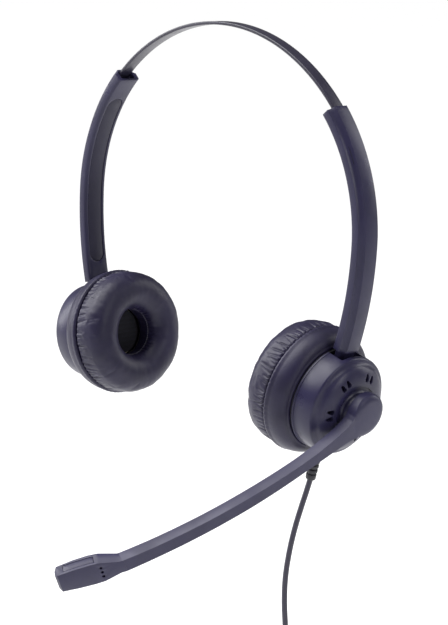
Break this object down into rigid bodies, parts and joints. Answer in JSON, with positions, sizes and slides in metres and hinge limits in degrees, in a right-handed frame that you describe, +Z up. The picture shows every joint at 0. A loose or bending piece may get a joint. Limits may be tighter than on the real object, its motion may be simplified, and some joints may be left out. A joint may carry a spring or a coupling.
{
  "type": "office headset",
  "caption": "Two-ear office headset: sprung steel band, sliding arms, swivelling cushioned ear cups, and a microphone boom that turns on one cup; cord with jack plug.",
  "frame": {"origin": "midway between the two ear cushions, on the line through the ears, where the wearer's head is", "axes": "+X towards the wearer's left, where the boom is; -Y is the wearer's front; +Z up through the top of the headband"},
  "size_m": [0.1764, 0.1442, 0.3308],
  "materials": {
    "band_finish": "satin",
    "shell_plastic": "satin",
    "cover_plastic": "satin",
    "boom_plastic": "satin",
    "dark_plastic": "matte",
    "spring_steel": "brushed",
    "magnet_metal": "satin",
    "clear_film": "gloss",
    "leatherette": "satin",
    "foam_cloth": "matte",
    "board_green": "gloss",
    "cord_jacket": "satin",
    "tie_cloth": "matte",
    "plug_metal": "polished"
  },
  "bodies": {
    "headband": {"headband": "band_finish", "left_band_stop": "dark_plastic", "right_band_stop": "dark_plastic"},
    "left_arm": {"left_arm_shell": "shell_plastic", "left_arm_cover": "cover_plastic", "left_detent_spring": "spring_steel", "left_swivel_post": "spring_steel", "left_swivel_clip": "spring_steel"},
    "left_swivel": {"left_swivel_block": "dark_plastic"},
    "left_cup": {"left_housing": "shell_plastic", "left_swivel_bracket": "dark_plastic", "left_baffle": "dark_plastic", "left_baffle_screws": "spring_steel", "left_speaker_frame": "dark_plastic", "left_speaker_magnet": "magnet_metal", "left_speaker_diaphragm": "clear_film", "left_cushion": "leatherette", "left_cushion_scrim": "foam_cloth", "boss_ring": "shell_plastic", "strain_relief": "cord_jacket", "circuit_board": "board_green", "cord_tube": "cord_jacket", "cord_coil": "cord_jacket", "cord_tie": "tie_cloth", "cord_tail": "cord_jacket", "plug_body": "cord_jacket", "plug_pin": "plug_metal"},
    "right_arm": {"right_arm_shell": "shell_plastic", "right_arm_cover": "cover_plastic", "right_detent_spring": "spring_steel", "right_swivel_post": "spring_steel", "right_swivel_clip": "spring_steel"},
    "right_swivel": {"right_swivel_block": "dark_plastic"},
    "right_cup": {"right_housing": "shell_plastic", "right_swivel_bracket": "dark_plastic", "right_baffle": "dark_plastic", "right_baffle_screws": "spring_steel", "right_speaker_frame": "dark_plastic", "right_speaker_magnet": "magnet_metal", "right_speaker_diaphragm": "clear_film", "right_cushion": "leatherette", "right_cushion_scrim": "foam_cloth", "right_hub_plug": "shell_plastic"},
    "boom": {"boom_arm": "boom_plastic", "boom_cap": "boom_plastic", "boom_screw": "spring_steel", "boom_washer": "spring_steel", "boom_nut": "spring_steel", "mic_housing": "boom_plastic", "mic_window": "dark_plastic", "mic_element": "magnet_metal"}
  },
  "joints": [
    {"name": "left_arm_slide", "type": "hinge", "parent": "headband", "child": "left_arm", "pos_m": [0.00482, 0, 0.06015], "axis": [0, -1, 0], "range_deg": [-2.9, 14.6]},
    {"name": "left_swivel_turn", "type": "hinge", "parent": "left_arm", "child": "left_swivel", "pos_m": [0.07313, 0, 0.00959], "axis": [0.342, 0, 0.9397], "range_deg": [-8, 8]},
    {"name": "left_cup_tilt", "type": "hinge", "parent": "left_swivel", "child": "left_cup", "pos_m": [0.07313, 0, 0.00959], "axis": [0, 1, 0], "range_deg": [-6, 6]},
    {"name": "right_arm_slide", "type": "hinge", "parent": "headband", "child": "right_arm", "pos_m": [-0.00482, 0, 0.06015], "axis": [0, 1, 0], "range_deg": [-2.9, 14.6]},
    {"name": "right_swivel_turn", "type": "hinge", "parent": "right_arm", "child": "right_swivel", "pos_m": [-0.07313, 0, 0.00959], "axis": [-0.342, 0, 0.9397], "range_deg": [-8, 8]},
    {"name": "right_cup_tilt", "type": "hinge", "parent": "right_swivel", "child": "right_cup", "pos_m": [-0.07313, 0, 0.00959], "axis": [0, 1, 0], "range_deg": [-6, 6]},
    {"name": "boom_turn", "type": "hinge", "parent": "left_cup", "child": "boom", "pos_m": [0.08565, 0, -0.00625], "axis": [0.9848, 0, -0.1736], "range_deg": [-250, 25]}
  ]
}
